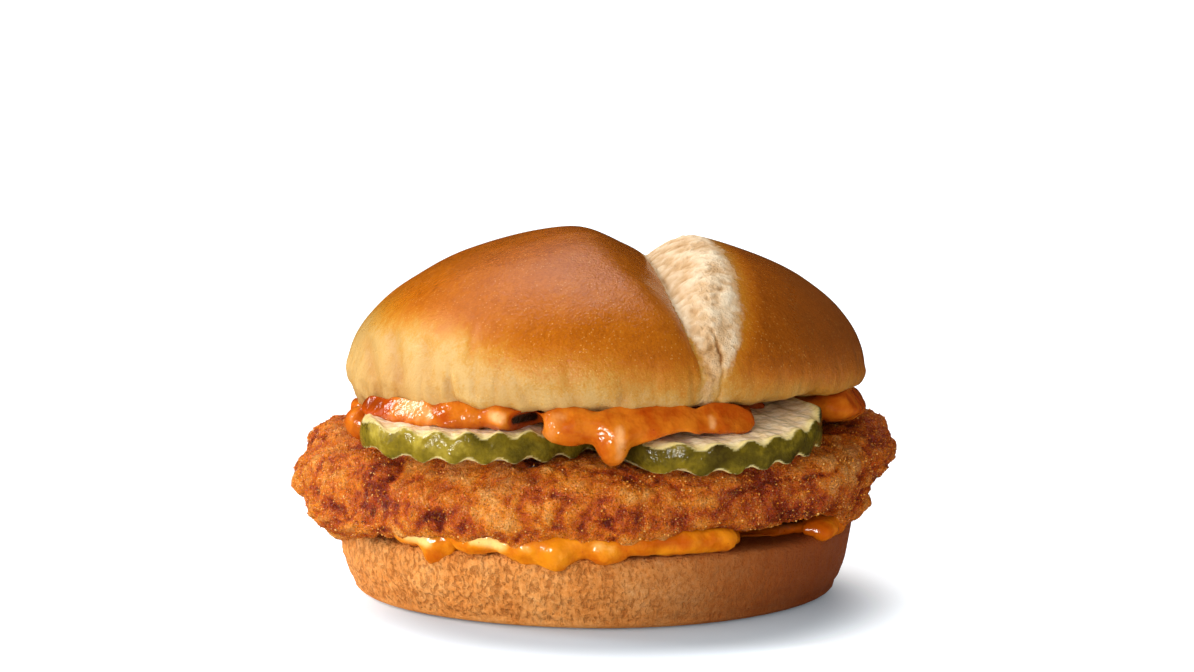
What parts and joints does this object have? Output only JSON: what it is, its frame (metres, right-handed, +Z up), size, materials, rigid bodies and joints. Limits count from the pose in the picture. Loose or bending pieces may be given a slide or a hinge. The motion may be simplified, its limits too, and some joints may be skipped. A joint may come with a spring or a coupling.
{
  "type": "chicken burger",
  "caption": "Crispy chicken burger in a split-top bun, with crinkle-cut pickle slices and spicy orange sauce above and below the fillet, in one rigid piece.",
  "frame": {"origin": "middle of the heel's flat underside, on the surface that the burger rests on", "axes": "+Z up through the layers, +X to the right and -Y towards the viewer of the picture"},
  "size_m": [0.1205, 0.1071, 0.0712],
  "materials": {
    "crown": "glossy brown bread crust",
    "heel": "matt bread crust",
    "fillet": "rough fried breading",
    "pickle": "wet gloss",
    "sauce_upper": "wet gloss",
    "sauce_lower": "wet gloss"
  },
  "bodies": {
    "root": {"crown": "crown", "heel": "heel", "fillet": "fillet", "pickle_left": "pickle", "pickle_right": "pickle", "sauce_upper": "sauce_upper", "sauce_lower": "sauce_lower"}
  },
  "joints": []
}
